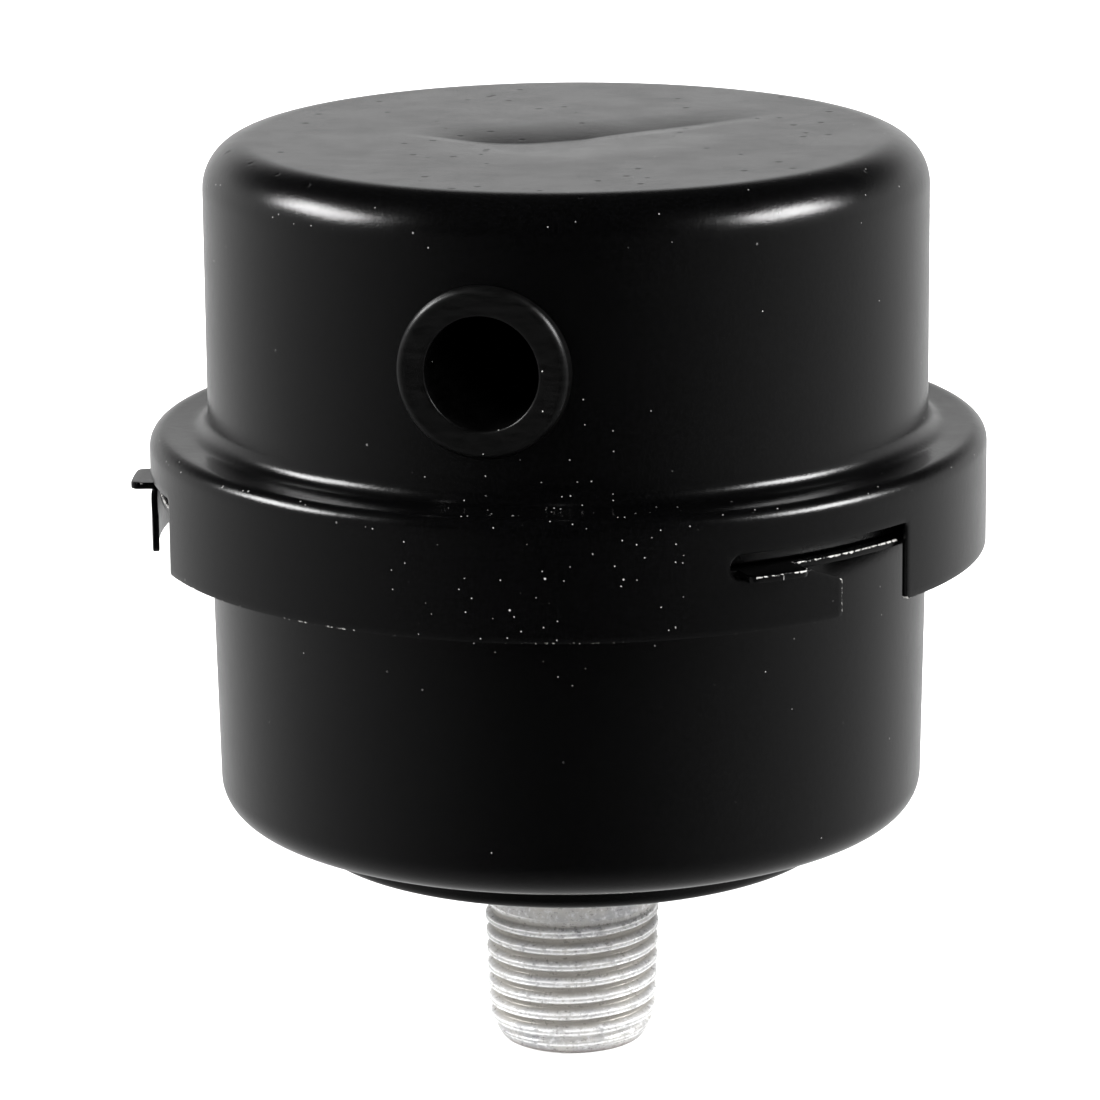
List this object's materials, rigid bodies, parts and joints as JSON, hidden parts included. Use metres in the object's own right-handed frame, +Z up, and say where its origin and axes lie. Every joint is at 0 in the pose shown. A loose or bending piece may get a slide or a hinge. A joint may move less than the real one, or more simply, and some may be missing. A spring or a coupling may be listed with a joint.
{
  "type": "air intake silencer filter",
  "caption": "Round intake muffler: a twist-lock steel cover with a side inlet bushing on a drawn steel cup with lugs, a filter pack and a male threaded outlet stub.",
  "frame": {"origin": "on the thread's axis at the lower end of the outlet stub", "axes": "+Z up along the axis from the stub to the top of the cover, -Y out of the inlet, +X to the right of someone who faces the inlet"},
  "size_m": [0.065, 0.0637, 0.071],
  "materials": {
    "black_enamel": "satin-gloss black stove enamel on steel sheet",
    "black_plastic": "satin moulded plastic",
    "cast_aluminium": "bare die casting with a thread",
    "plated_steel": "zinc plated sheet",
    "filter_foam": "open-cell foam",
    "black_rubber": "matt rubber"
  },
  "bodies": {
    "base": {"base_cup": "black_enamel", "threaded_stub": "cast_aluminium", "backing_washer": "plated_steel", "lower_screen": "plated_steel", "filter_pad": "filter_foam", "upper_screen": "plated_steel", "rim_gasket": "black_rubber"},
    "cover": {"cover": "black_enamel", "inlet_bushing": "black_plastic"}
  },
  "joints": [
    {"name": "cover_twist", "type": "hinge", "parent": "base", "child": "cover", "pos_m": [0, 0, 0.045], "axis": [0, 0, 1], "range_deg": [-19.2, 0.2]}
  ]
}
